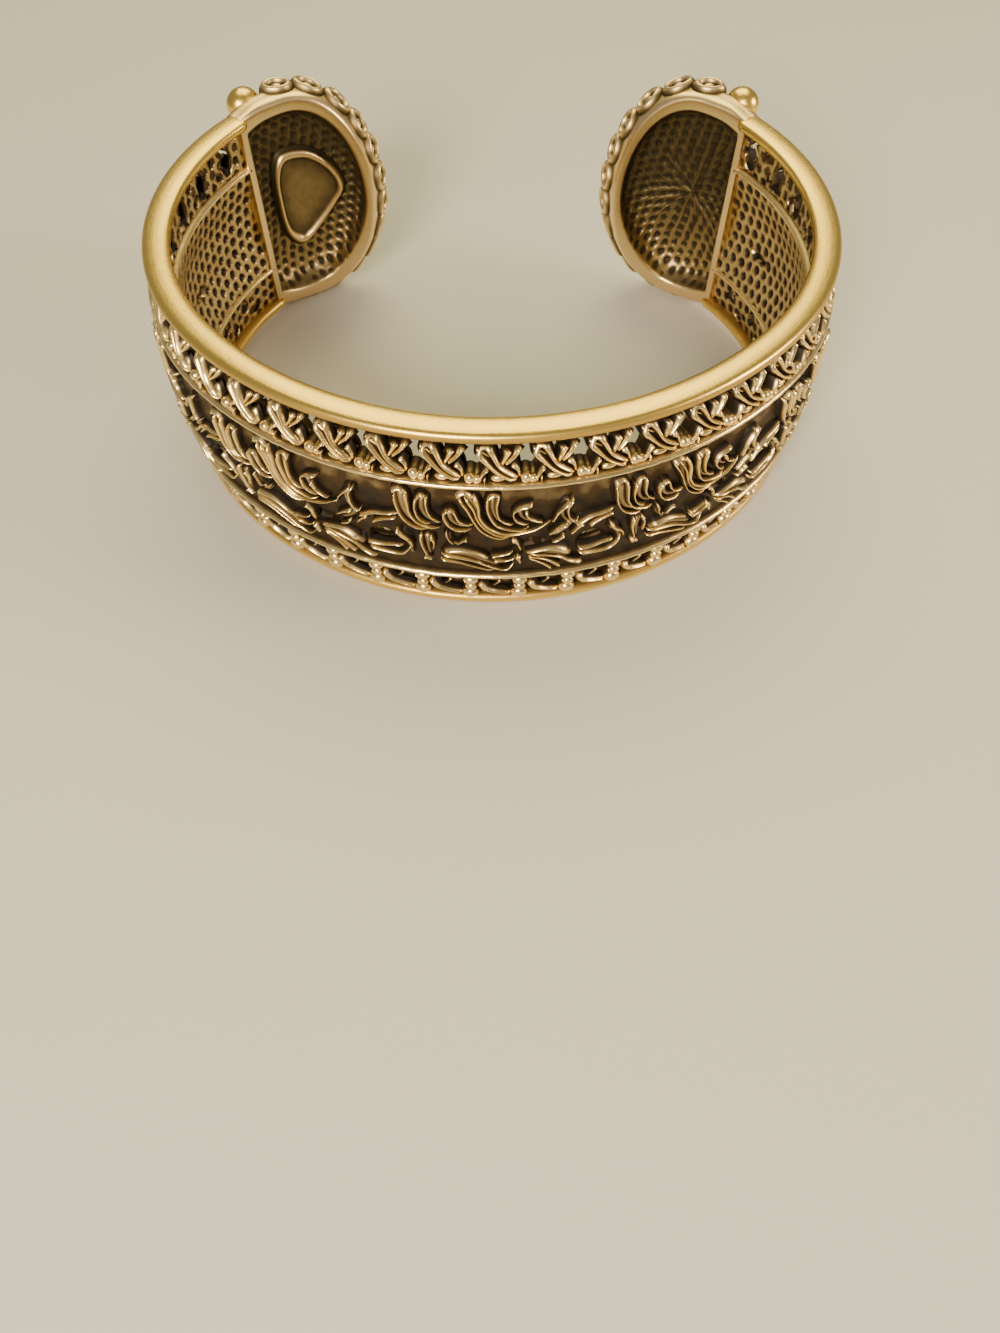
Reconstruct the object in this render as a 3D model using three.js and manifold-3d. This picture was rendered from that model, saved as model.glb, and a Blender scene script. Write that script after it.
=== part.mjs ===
import * as THREE from 'three';
import { mergeVertices } from 'three/addons/utils/BufferGeometryUtils.js';
import Module from 'manifold-3d';

// Open cuff bracelet, cast in one piece: two smooth rims, two thin ribs, a pierced leaf
// border above and below, a scroll of acanthus leaves between them and a domed,
// hollow-backed cartouche with a scalloped edge at each end of the gap.
// Millimetres, +Z up. The cuff lies with its gap to +Y, on its lower rim and lower balls.

const wasm = await Module();
wasm.setup();

// Driving dimensions

const cuffHeight = 22.9;
const frontArc = { radius: 33.6, angle: 48.8 };
const sideArc = { radius: 25.8, angle: 77.8 };
const endArc = { radius: 13.2, angle: 66.8 };

const rimDepth = 2.5;
const rimHeight = 1.3;
const ribHeight = 1.1;
const ribOutside = 1.75;
const centreBandHeight = 12.5;
const plateEdge = { inside: -0.6, outside: 1.35 };
const plateCrown = { inside: 0.2, outside: 1.65 };
const crownHalf = 2.6;

const motifPitch = 4.55;
const upperMotifShift = 0.55;
const lowerMotifShift = 0.3;
const borderInside = -0.6;
const borderOutside = 0.45;
const borderLeafWidth = 1.05;
const borderLeafRise = 1;

const repeatLength = 18.2;
const repeatShift = 0.9;
const scrollLeafWidth = 1.2;
const scrollLeafRise = 1.15;
const leafRoot = 0.15;

const ballDiameter = 2.9;
const ballPastBand = 2.4;
const ballOutward = 2.2;
const ballBelowTop = 1.1;
const cartoucheHeight = 25.2;
const scallopLength = 3.6;
const scallopOverhang = 0.45;
const cartoucheRidge = 0.8;
const cartoucheDome = 3;
const cartoucheEdge = 1.4;
const cartoucheShoulder = 18;
const hollowFloor = 1.2;

const plaque = { fromBand: 3.3, width: 7.8, height: 10.9, drop: 0.3, thickness: 0.5, border: 0.8, corner: 1.5 };

// The cuff's plan: three tangent arcs on each side of the front centre

const arcs = [frontArc, sideArc, endArc].map((arc) => {
  const angle = THREE.MathUtils.degToRad(arc.angle);
  return { radius: arc.radius, angle, length: arc.radius * angle };
});
const bandHalf = arcs[0].length + arcs[1].length;
const endLength = arcs[2].length;

function planPoint(along, outward) {
  const side = along < 0 ? -1 : 1;
  let left = Math.abs(along);
  let heading = 0;
  let x = 0;
  let y = 0;
  for (const [index, arc] of arcs.entries()) {
    const last = index === arcs.length - 1;
    const length = last ? left : Math.min(left, arc.length);
    const turned = heading + length / arc.radius;
    x += arc.radius * (Math.sin(turned) - Math.sin(heading));
    y -= arc.radius * (Math.cos(turned) - Math.cos(heading));
    heading = turned;
    left -= length;
    if (left <= 0) break;
  }
  return new THREE.Vector2(side * (x + outward * Math.sin(heading)), y - outward * Math.cos(heading));
}

// Every form is drawn flat, x along the band, y up and z outward, then bent onto the plan

function solid(geometry) {
  geometry.deleteAttribute('normal');
  geometry.deleteAttribute('uv');
  const merged = mergeVertices(geometry, 1e-4);
  return new wasm.Manifold(new wasm.Mesh({
    numProp: 3,
    vertProperties: Float32Array.from(merged.attributes.position.array),
    triVerts: Uint32Array.from(merged.index.array),
  }));
}

function bent(geometry) {
  const position = geometry.attributes.position;
  for (let i = 0; i < position.count; i += 1) {
    const place = planPoint(position.getX(i), position.getZ(i));
    position.setXYZ(i, place.x, place.y, position.getY(i));
  }
  return solid(geometry);
}

function joined(solids) {
  return solids.reduce((whole, next) => whole.add(next));
}

// A leaf is a three-sided bar on a flat path, ridge outward, rooted in the metal behind it

const leafSwell = (t) => 0.45 + 0.55 * Math.sin(Math.PI * Math.min(1, t + 0.15));

function ridge(path, { segments, width, inside, rise }) {
  const geometry = new THREE.CylinderGeometry(1, 1, 1, 3, segments);
  const position = geometry.attributes.position;
  const base = -0.5;
  const widest = Math.sin(Math.PI / 3);
  for (let i = 0; i < position.count; i += 1) {
    const t = position.getY(i) + 0.5;
    const centre = path.getPoint(t);
    const tangent = path.getTangent(t);
    const swell = leafSwell(t);
    const across = position.getX(i) / widest * width / 2 * swell;
    const up = (position.getZ(i) - base) / (1 - base);
    const y = centre.y - tangent.x * across;
    const top = (rise + leafRoot) * (0.5 + 0.5 * swell) * up;
    position.setXYZ(i, centre.x + tangent.y * across, y, inside(y) - leafRoot + top);
  }
  return bent(geometry);
}

function flatPath(points) {
  return points.length === 2 ? new THREE.LineCurve(...points) : new THREE.SplineCurve(points);
}

// The band's section: rim, border web, rib, centre plate, rib, border web, rim

const halfHeight = cuffHeight / 2;
const rimInner = halfHeight - rimHeight;
const ribLevel = centreBandHeight / 2;
const borderLevel = (rimInner + ribLevel + ribHeight / 2) / 2;
const borderOpening = rimInner - ribLevel - ribHeight / 2;

function bandSection() {
  const rimFlat = rimDepth / 4;
  const upperHalf = [
    [plateCrown.outside, crownHalf],
    [plateEdge.outside, ribLevel - ribHeight / 2],
    [ribOutside, ribLevel],
    [borderOutside, ribLevel + ribHeight / 2],
    [borderOutside, rimInner],
    [rimDepth / 2, halfHeight - rimHeight / 2],
    [rimFlat, halfHeight],
    [-rimFlat, halfHeight],
    [-rimDepth / 2, halfHeight - rimHeight / 2],
    [borderInside, rimInner],
    [borderInside, ribLevel + ribHeight / 2],
    [plateEdge.inside, ribLevel],
    [plateCrown.inside, crownHalf],
  ];
  const lowerHalf = upperHalf.map(([outward, up]) => [outward, -up]).reverse();
  return new THREE.Shape([...upperHalf, ...lowerHalf].map(([x, y]) => new THREE.Vector2(-x, y)));
}

function bandBlank() {
  const steps = 2 * Math.round(bandHalf / motifPitch);
  const sweep = { depth: 2 * bandHalf, steps, bevelEnabled: false };
  const geometry = new THREE.ExtrudeGeometry(bandSection(), sweep);
  geometry.translate(0, 0, -bandHalf);
  geometry.rotateY(Math.PI / 2);
  return bent(geometry);
}

function pierced(points) {
  const cut = { depth: 2 * rimDepth, bevelEnabled: false };
  const geometry = new THREE.ExtrudeGeometry(new THREE.Shape(points), cut);
  geometry.translate(0, 0, -rimDepth);
  return bent(geometry);
}

// Borders: crossed leaves above, curled leaves between knobbed pillars below.
// Places inside a motif: x in motif pitches, y in opening heights, from the motif's centre

const upperMotif = {
  gaps: [
    [[-0.13, 0.5], [0.02, 0.12], [0.15, 0.5]],
    [[0.52, 0.46], [0.2, 0.02], [0.46, -0.44], [0.82, -0.02]],
  ],
  leaves: [
    { form: 'long leaf', path: [[-0.27, 0.46], [0.29, -0.46]], width: 1 },
    { form: 'short leaf', path: [[0.09, 0.08], [0.26, 0.46]], width: 0.75 },
  ],
};
const lowerMotif = {
  gaps: [
    [[-0.14, 0.5], [0.34, -0.26], [0.34, 0.5]],
    [[-0.36, 0.24], [-0.36, -0.5], [0.14, -0.5]],
  ],
  leaves: [
    { form: 'curled leaf', path: [[-0.27, 0.42], [0.28, -0.44]], width: 0.9 },
  ],
};
const borderRows = [
  { table: upperMotif, level: borderLevel, shift: upperMotifShift },
  { table: lowerMotif, level: -borderLevel, shift: lowerMotifShift },
];

// The centres, along the band, of forms repeated in both directions from one of them
function repeatCentres(first, pitch) {
  const back = Math.floor((bandHalf + first) / pitch);
  const count = back + Math.ceil((bandHalf - first) / pitch);
  return Array.from({ length: count + 1 }, (_, i) => first + (i - back) * pitch);
}

function onBand(points) {
  return points.every((point) => Math.abs(point.x) < bandHalf);
}

function borderForms(rowOf) {
  return borderRows.flatMap((row) => repeatCentres(row.shift, motifPitch).flatMap((centre) => (
    rowOf(row.table).map((form) => {
      const points = (form.path ?? form).map(([x, y]) => (
        new THREE.Vector2(centre + x * motifPitch, row.level + y * borderOpening)
      ));
      return { form, points };
    })
  ))).filter(({ points }) => onBand(points));
}

function borderGaps() {
  return borderForms((table) => table.gaps).map(({ points }) => pierced(points));
}

function borderLeaves() {
  return borderForms((table) => table.leaves).map(({ form, points }) => ridge(flatPath(points), {
    segments: points.length - 1,
    width: form.width * borderLeafWidth,
    inside: () => borderOutside,
    rise: borderLeafRise,
  }));
}

// Centre band: the plate, cambered and pierced once in each repeat, under a scroll of acanthus leaves.
// Places in a repeat: x in repeat lengths from its start, y in centre band half heights from the middle

const scrollTable = [
  { form: 'curled leaf', path: [[0.016, 0.79], [0.038, 0.4], [0.185, 0.12]], width: 1 },
  { form: 'curled leaf, inner strand', path: [[0.109, 0.72], [0.152, 0.31]], width: 0.83 },
  { form: 'small hook', path: [[0.239, 0.52], [0.25, 0.22], [0.348, 0.12]], width: 0.75 },
  { form: 'long leaf', path: [[0.288, 0.79], [0.391, 0.24], [0.565, -0.03], [0.712, 0.19], [0.799, 0.62]], width: 1 },
  { form: 'long leaf, inner strand', path: [[0.424, 0.78], [0.478, 0.4], [0.641, 0.22]], width: 0.83 },
  { form: 'second hook', path: [[0.62, 0.66], [0.576, 0.38]], width: 0.83 },
  { form: 'stem', path: [[0.777, 0.09], [0.995, 0.24]], width: 1.08 },
  { form: 'wave', path: [[0.207, -0.41], [0.326, -0.52], [0.489, -0.81]], width: 1.08 },
  { form: 'fan leaf', path: [[0.592, -0.38], [0.761, -0.45], [0.875, -0.81]], width: 1.08 },
  { form: 'scroll curl', path: [[0, -0.81], [0.12, -0.66], [0.087, -0.31]], width: 0.92 },
];
const plateGap = { x: 0.924, y: -0.34, halfWidth: 0.07, halfHeight: 0.19, corners: 5 };

const repeatStarts = repeatCentres(repeatShift - repeatLength / 2, repeatLength);

function drawn(start, [x, y]) {
  return new THREE.Vector2(start + x * repeatLength, y * centreBandHeight / 2);
}

function plateSurface(y) {
  const towardEdge = (Math.abs(y) - crownHalf) / (ribLevel - ribHeight / 2 - crownHalf);
  const part = THREE.MathUtils.clamp(towardEdge, 0, 1);
  return THREE.MathUtils.lerp(plateCrown.outside, plateEdge.outside, part);
}

function plateGaps() {
  const { x, y, halfWidth, halfHeight: reach, corners } = plateGap;
  const angles = Array.from({ length: corners }, (_, corner) => corner / corners * 2 * Math.PI);
  return repeatStarts.map((start) => angles.map((angle) => (
    drawn(start, [x + halfWidth * Math.cos(angle), y + reach * Math.sin(angle)])
  ))).filter(onBand).map(pierced);
}

function scroll() {
  return repeatStarts.flatMap((start) => scrollTable.map(({ path, width }) => (
    { points: path.map((place) => drawn(start, place)), width }
  ))).filter(({ points }) => onBand(points)).map(({ points, width }) => ridge(flatPath(points), {
    segments: points.length - 1,
    width: width * scrollLeafWidth,
    inside: plateSurface,
    rise: scrollLeafRise,
  }));
}

function band() {
  const gaps = joined([...borderGaps(), ...plateGaps()]);
  return joined([bandBlank().subtract(gaps), ...borderLeaves(), ...scroll()]);
}

// End cartouches: a domed shell, cut straight where it meets the band and round at its tip

const cartoucheHalf = cartoucheHeight / 2 - scallopOverhang;
const cartoucheCentre = bandHalf + endLength * 0.37;
const cartoucheReach = bandHalf + endLength - scallopOverhang - cartoucheCentre;
const cartoucheRoundness = 2.1;
const cartoucheToBand = cartoucheCentre - bandHalf + cartoucheRidge;

function cartoucheOutline(angle) {
  const c = Math.cos(angle);
  const s = Math.sin(angle);
  const n = cartoucheRoundness;
  const length = c < 0 ? cartoucheShoulder : cartoucheReach;
  const round = ((Math.abs(c) / length) ** n + (Math.abs(s) / cartoucheHalf) ** n) ** (-1 / n);
  const reach = Math.min(round, cartoucheToBand / Math.max(-c, 1e-6));
  return new THREE.Vector2(reach * c, reach * s);
}

// The shell's section from the hollow's middle over the wall to the dome's middle:
// part of the way to the outline, and how far outward
const shellSection = [
  [0, 1.25 * hollowFloor],
  [0.5, hollowFloor],
  [0.82, hollowFloor / 6],
  [0.88, -rimDepth / 2],
  [0.97, -rimDepth / 2],
  [1, -rimDepth / 4],
  [1, cartoucheEdge],
  [0.76, THREE.MathUtils.lerp(cartoucheEdge, cartoucheDome, 0.35)],
  [0.4, THREE.MathUtils.lerp(cartoucheEdge, cartoucheDome, 0.85)],
  [0, cartoucheDome],
];

function cartoucheShell(side) {
  const profile = shellSection.map(([part, outward]) => new THREE.Vector2(part, outward));
  const geometry = new THREE.LatheGeometry(profile, 14);
  const position = geometry.attributes.position;
  for (let i = 0; i < position.count; i += 1) {
    const x = position.getX(i);
    const z = position.getZ(i);
    const edge = cartoucheOutline(Math.atan2(-z, x)).multiplyScalar(Math.hypot(x, z));
    position.setXYZ(i, side * (cartoucheCentre + edge.x), side * edge.y, position.getY(i));
  }
  return bent(geometry);
}

function scallops(side) {
  const turns = 72;
  const wayRound = 0.55;
  const radius = scallopLength * 0.46;
  const outline = Array.from({ length: turns + 1 }, (_, step) => {
    const angle = (step / turns - 0.5) * 2 * Math.PI * wayRound;
    return cartoucheOutline(angle);
  });
  const route = new THREE.CurvePath();
  outline.slice(1).forEach((point, index) => route.add(new THREE.LineCurve(outline[index], point)));
  const count = Math.round(route.getLength() / scallopLength);
  return Array.from({ length: count }, (_, index) => {
    const edge = route.getPointAt((index + 0.5) / count);
    const inset = 1 - (radius - scallopOverhang) / edge.length();
    const scallop = new THREE.SphereGeometry(radius, 6, 3);
    scallop.scale(1, 1, 0.75);
    scallop.translate(side * (cartoucheCentre + edge.x * inset), side * edge.y * inset, cartoucheEdge);
    return bent(scallop);
  });
}

const ballLevel = cartoucheHeight / 2 - ballBelowTop;

function balls(side) {
  return [-1, 1].map((end) => {
    const ball = new THREE.SphereGeometry(ballDiameter / 2, 7, 5);
    ball.rotateX(Math.PI / 2);
    const place = planPoint(side * (bandHalf + ballPastBand), ballOutward);
    ball.translate(place.x, place.y, end * ballLevel);
    return solid(ball);
  });
}

// The bare plaque in the hollow on the left: a rounded triangle with a raised border

function plaqueOutline(inset) {
  const { width, height, corner } = plaque;
  const radius = corner - inset / 2;
  const left = inset + radius;
  const right = width - inset - radius;
  const reach = height / 2 - inset - radius;
  const shape = new THREE.Shape();
  shape.absarc(-left, reach, radius, 0, Math.PI * 0.58);
  shape.absarc(-right, height * 0.16, radius, Math.PI * 0.72, Math.PI * 1.2);
  shape.absarc(-left, -reach, radius, Math.PI * 1.3, Math.PI * 2);
  return shape;
}

function plaqueSolid() {
  const floor = hollowFloor / 2;
  const lift = { depth: floor + plaque.thickness, bevelEnabled: false, curveSegments: 2 };
  const body = new THREE.ExtrudeGeometry(plaqueOutline(0), lift);
  const field = new THREE.ExtrudeGeometry(plaqueOutline(plaque.border), lift);
  const low = hollowFloor - plaque.thickness;
  body.translate(-bandHalf - plaque.fromBand, -plaque.drop, low);
  field.translate(-bandHalf - plaque.fromBand, -plaque.drop, low - lift.depth + plaque.thickness / 2);
  return bent(body).subtract(bent(field));
}

// The whole casting

function casting() {
  const pieces = [band(), plaqueSolid()];
  for (const side of [-1, 1]) pieces.push(cartoucheShell(side), ...scallops(side), ...balls(side));
  return joined(pieces);
}

function toGeometry(manifold) {
  const mesh = manifold.getMesh();
  const geometry = new THREE.BufferGeometry();
  geometry.setAttribute('position', new THREE.BufferAttribute(Float32Array.from(mesh.vertProperties), 3));
  geometry.setIndex(new THREE.BufferAttribute(Uint32Array.from(mesh.triVerts), 1));
  return geometry;
}

// The ends are taller than the band, so on a flat surface the cuff leans forward a little,
// on the front of its lower rim and the two lower balls

const ballPlace = planPoint(bandHalf + ballPastBand, ballOutward);
const lean = Math.atan2(ballLevel + ballDiameter / 2 - halfHeight, ballPlace.y + rimDepth / 4);

const antiqueGold = new THREE.MeshStandardMaterial({ color: 0xb98d4c, roughness: 0.38, metalness: 1 });
const cuff = new THREE.Mesh(toGeometry(casting()), antiqueGold);
cuff.name = 'cuff';
cuff.rotation.x = lean;
const box = new THREE.Box3().setFromObject(cuff, true);
const middle = box.getCenter(new THREE.Vector3());
cuff.position.set(-middle.x, -middle.y, -box.min.z);

const bracelet = new THREE.Group();
bracelet.add(cuff);

export default bracelet;
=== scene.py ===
import math

import bmesh
import bpy
from mathutils import Matrix, Vector, noise


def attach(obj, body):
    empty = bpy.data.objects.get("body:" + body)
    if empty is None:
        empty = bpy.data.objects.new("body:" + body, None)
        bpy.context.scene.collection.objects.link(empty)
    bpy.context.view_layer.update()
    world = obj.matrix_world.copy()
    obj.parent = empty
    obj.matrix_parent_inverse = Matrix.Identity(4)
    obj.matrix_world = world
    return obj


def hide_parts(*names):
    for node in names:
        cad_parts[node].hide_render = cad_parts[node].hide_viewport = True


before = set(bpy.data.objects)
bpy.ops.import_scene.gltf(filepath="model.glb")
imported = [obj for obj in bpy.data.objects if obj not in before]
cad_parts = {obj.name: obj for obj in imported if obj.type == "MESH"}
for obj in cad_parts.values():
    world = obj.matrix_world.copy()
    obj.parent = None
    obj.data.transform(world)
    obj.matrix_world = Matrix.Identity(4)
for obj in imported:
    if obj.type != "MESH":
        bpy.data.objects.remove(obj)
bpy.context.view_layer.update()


# Camera. It stands where the photograph's stood, in front of the cuff and
# above it, and looks down at the front of the band.
camera_place = (0.00072, -0.08415, 0.07779)
camera_pitch = math.radians(33.42)
camera_lens = 26.55

camera_data = bpy.data.cameras.new("camera")
camera_data.lens = camera_lens
camera_data.sensor_width = 36
camera_data.clip_start = 0.001
camera = bpy.data.objects.new("camera", camera_data)
camera.location = camera_place
camera.rotation_euler = (camera_pitch, 0, 0)
bpy.context.scene.collection.objects.link(camera)
bpy.context.scene.camera = camera


# Floor and light. A plain pale sheet under soft studio light: a wide lamp
# overhead towards the back, smaller ones at the front and at the right, and a
# pale room.
def colour(code, alpha=1.0):
    """The linear colour of an sRGB hex code."""
    parts = [int(code[i : i + 2], 16) / 255 for i in (1, 3, 5)]
    return (*(c / 12.92 if c <= 0.04045 else ((c + 0.055) / 1.055) ** 2.4 for c in parts), alpha)


def node(tree, kind, settings=None, links=None):
    """Adds a node with its settings, input values (by number or name) and links."""
    made = tree.nodes.new(kind)
    for key, value in (settings or {}).items():
        if isinstance(key, int) or key in made.inputs:
            made.inputs[key].default_value = value
        else:
            setattr(made, key, value)
    for key, source in (links or {}).items():
        tree.links.new(source, made.inputs[key])
    return made


floor_size = 3.0

# Matt paper: pale and even, without a shine
paper = bpy.data.materials.new("matt_paper_sheet")
paper.use_nodes = True
paper.node_tree.nodes["Principled BSDF"].inputs["Base Color"].default_value = colour("#CFCDC8")
paper.node_tree.nodes["Principled BSDF"].inputs["Roughness"].default_value = 0.9

floor_form = bmesh.new()
bmesh.ops.create_grid(floor_form, x_segments=1, y_segments=1, size=floor_size / 2)
floor_mesh = bpy.data.meshes.new("floor")
floor_form.to_mesh(floor_mesh)
floor_form.free()
floor_mesh.materials.append(paper)
floor = bpy.data.objects.new("floor", floor_mesh)
bpy.context.scene.collection.objects.link(floor)

lamps = (
    {"name": "overhead", "place": (0.0, 0.2, 0.33), "size": 0.3, "watts": 1.15, "tint": "#FFF0A0"},
    {"name": "front", "place": (-0.09, -0.3, 0.21), "size": 0.12, "watts": 1.8, "tint": "#FFF0D0"},
    {"name": "side", "place": (0.26, -0.04, 0.14), "size": 0.1, "watts": 0.5, "tint": "#FFE8C4"},
)
for lamp in lamps:
    light = bpy.data.lights.new(lamp["name"], "AREA")
    light.energy = lamp["watts"]
    light.size = lamp["size"]
    light.color = colour(lamp["tint"])[:3]
    holder = bpy.data.objects.new(lamp["name"], light)
    holder.location = lamp["place"]
    holder.rotation_euler = (-Vector(lamp["place"])).to_track_quat("-Z", "Y").to_euler()
    bpy.context.scene.collection.objects.link(holder)

room = bpy.data.worlds.new("pale_room")
room.use_nodes = True
room.node_tree.nodes["Background"].inputs["Color"].default_value = colour("#E8E4DC")
room.node_tree.nodes["Background"].inputs["Strength"].default_value = 0.36
bpy.context.scene.world = room


# Rims. The cuff's two edges, flattened oval bars of the one casting, about
# 2.6 mm deep and 1.2 mm high. Cast in gold-toned brass, then satin polished,
# with fine long scratches from wear.

# From here on lengths are in millimetres. Each half of the band follows three
# arcs, from the middle of the front to the tip, and the cuff leans as it rests.
arcs = (
    {"radius": 33.6, "angle": math.radians(48.8)},
    {"radius": 25.8, "angle": math.radians(77.8)},
    {"radius": 13.2, "angle": math.radians(66.8)},
)
band_half = sum(arc["radius"] * arc["angle"] for arc in arcs[:2])
end_length = arcs[2]["radius"] * arcs[2]["angle"]
lean = math.radians(1.7949)
rest = Matrix.Translation((-0.0442, -24.4626, 11.4640)) @ Matrix.Rotation(lean, 4, "X")
millimetre = 0.001
join_distance = 0.002 * millimetre

rim_depth = 2.6
rim_height = 1.22
rim_level = 10.84
rim_squareness = 2.7
rim_overlap = 1.3
rim_taper = 0.45
rim_line = {"out": 0.62, "width": 0.1, "depth": 0.04, "wear": 0.25}
# How light each part of the rims is coloured: the worn and border sides, and the painted shade on each
# rim's outer face
rim_wear_and_shade = {"worn_side": 1.0, "border_side": 0.3, "top_rim_painted_shade": 0.5, "lower_rim_painted_shade": 0.15}

# Where the rims' dark wash on the border side and their painted shade on the outer face fade in and out, as
# shares of their half depth and half height
rim_fade = {"onto_face": (0.5, 0.95), "below_crest": (0.8, 0.3), "off_border": (-0.9, -0.35)}


def laid(along, up, out):
    """The row place, in metres, of a point drawn flat in millimetres:
    along the band from its middle, up from mid-height and outward."""
    left, heading, x, y = abs(along), 0.0, 0.0, 0.0
    for arc in arcs:
        length = left if arc is arcs[-1] else min(left, arc["radius"] * arc["angle"])
        turned = heading + length / arc["radius"]
        x += arc["radius"] * (math.sin(turned) - math.sin(heading))
        y -= arc["radius"] * (math.cos(turned) - math.cos(heading))
        heading = turned
        left -= length
        if left <= 0:
            break
    side = math.copysign(1, along)
    flat = Vector((side * (x + out * math.sin(heading)), y - out * math.cos(heading), up))
    return millimetre * (rest @ flat)


def new_form():
    """An empty mesh that keeps how light each point is coloured: 1 on worn high places, 0 in recesses, and
    lower also where shade is painted on the rims.
    """
    form = bmesh.new()
    form.verts.layers.float.new("wear_and_shade")
    form.loops.layers.uv.new("flat")
    return form


def grown(form, steps, around, place):
    """Adds one closed form to form: place(t, a) gives a grid point's flat place and its wear."""
    wear_and_shade = form.verts.layers.float["wear_and_shade"]
    flat = form.loops.layers.uv["flat"]
    made = bmesh.ops.create_grid(form, x_segments=steps, y_segments=around, size=0.5)["verts"]
    for vert in made:
        along, up, out, worn = place(vert.co.x + 0.5, vert.co.y + 0.5)
        vert.co = laid(along, up, out)
        vert[wear_and_shade] = worn
        for loop in vert.link_loops:
            loop[flat].uv = (along, up + out)
    bmesh.ops.remove_doubles(form, verts=made, dist=join_distance)


def finished(name, form, material):
    """The piece made of a form: normals outward, smooth, in its material."""
    bmesh.ops.recalc_face_normals(form, faces=form.faces)
    for face in form.faces:
        face.smooth = True
    mesh = bpy.data.meshes.new(name)
    form.to_mesh(mesh)
    form.free()
    mesh.materials.append(material)
    piece = bpy.data.objects.new(name, mesh)
    bpy.context.scene.collection.objects.link(piece)
    return piece


def smooth(low, high, value):
    """0 below low, 1 above high and an even slope between them."""
    t = min(1, max(0, (value - low) / (high - low)))
    return t * t * (3 - 2 * t)


def mixed(a, b, t):
    """From a at t = 0 to b at t = 1."""
    return a + (b - a) * t


def at_tip(t):
    """Whether a share of the way along a bar is at one of its two ends."""
    return t < 1e-6 or t > 1 - 1e-6


# The wash lies in patches of about a millimetre, and the cast grain is drawn at about
# 0.3 mm, coarser than the real one, so that it shows. Scratches run along the cuff,
# 3 mm long and a sixteenth of a millimetre apart.
wash_patches_per_mm = 1.1
grains_per_mm = 3.5
scratches_per_mm = (0.35, 16.0, 1.0)
grain_height = 0.08


def gold(name, stops, rough_worn, rough_recess, grain, scratches):
    """Antiqued gold: stops are (wear, colour) from the dark patina to the bare metal; the painted shade
    kept with the wear darkens through the same stops.
    grain is how unevenly the wash lies and scratches the depth of the fine lines."""
    material = bpy.data.materials.new(name)
    material.use_nodes = True
    tree = material.node_tree
    shader = tree.nodes["Principled BSDF"]
    place = node(tree, "ShaderNodeTexCoord")
    worn = node(tree, "ShaderNodeAttribute", {"attribute_name": "wear_and_shade"})
    mottle = node(
        tree,
        "ShaderNodeTexNoise",
        {"Scale": wash_patches_per_mm / millimetre, "Detail": 4.0, "Roughness": 0.6},
        {"Vector": place.outputs["Object"]},
    )
    shifted = node(
        tree,
        "ShaderNodeMath",
        {"operation": "MULTIPLY_ADD", 1: grain, 2: -grain / 2},
        {0: mottle.outputs["Fac"]},
    )
    wear = node(
        tree,
        "ShaderNodeMath",
        {"operation": "ADD", "use_clamp": True},
        {0: worn.outputs["Fac"], 1: shifted.outputs[0]},
    )
    ramp = node(tree, "ShaderNodeValToRGB", None, {"Fac": wear.outputs[0]})
    elements = ramp.color_ramp.elements
    while len(elements) < len(stops):
        elements.new(0.5)
    for element, (position, code) in zip(elements, stops):
        element.position = position
        element.color = colour(code)
    rough = node(
        tree,
        "ShaderNodeMapRange",
        {"To Min": rough_recess, "To Max": rough_worn},
        {"Value": wear.outputs[0]},
    )
    metal = node(
        tree,
        "ShaderNodeMapRange",
        {"From Max": 0.4, "To Min": 0.35, "To Max": 1.0},
        {"Value": wear.outputs[0]},
    )
    cast = node(
        tree,
        "ShaderNodeTexNoise",
        {"Scale": grains_per_mm / millimetre, "Detail": 3.0, "Roughness": 0.6},
        {"Vector": place.outputs["Object"]},
    )
    drawn = node(
        tree,
        "ShaderNodeMapping",
        {"Scale": scratches_per_mm},
        {"Vector": place.outputs["UV"]},
    )
    lines = node(
        tree,
        "ShaderNodeTexNoise",
        {"Scale": 1.0, "Detail": 2.0, "Roughness": 0.5},
        {"Vector": drawn.outputs["Vector"]},
    )
    surface = node(
        tree,
        "ShaderNodeMath",
        {"operation": "MULTIPLY_ADD", 1: scratches},
        {0: lines.outputs["Fac"], 2: cast.outputs["Fac"]},
    )
    bump = node(
        tree,
        "ShaderNodeBump",
        {"Strength": 0.16, "Distance": grain_height * millimetre},
        {"Height": surface.outputs[0]},
    )
    tree.links.new(ramp.outputs["Color"], shader.inputs["Base Color"])
    tree.links.new(rough.outputs["Result"], shader.inputs["Roughness"])
    tree.links.new(metal.outputs["Result"], shader.inputs["Metallic"])
    tree.links.new(bump.outputs["Normal"], shader.inputs["Normal"])
    return material


# Polished satin metal: pale warm gold with a soft sheen and hairline scratches
satin_gold = gold(
    "satin_polished_gold_brass",
    ((0.0, "#3A2A16"), (0.35, "#B08C50"), (0.8, "#F8D26C")),
    rough_worn=0.26,
    rough_recess=0.55,
    grain=0.1,
    scratches=0.8,
)


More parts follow.
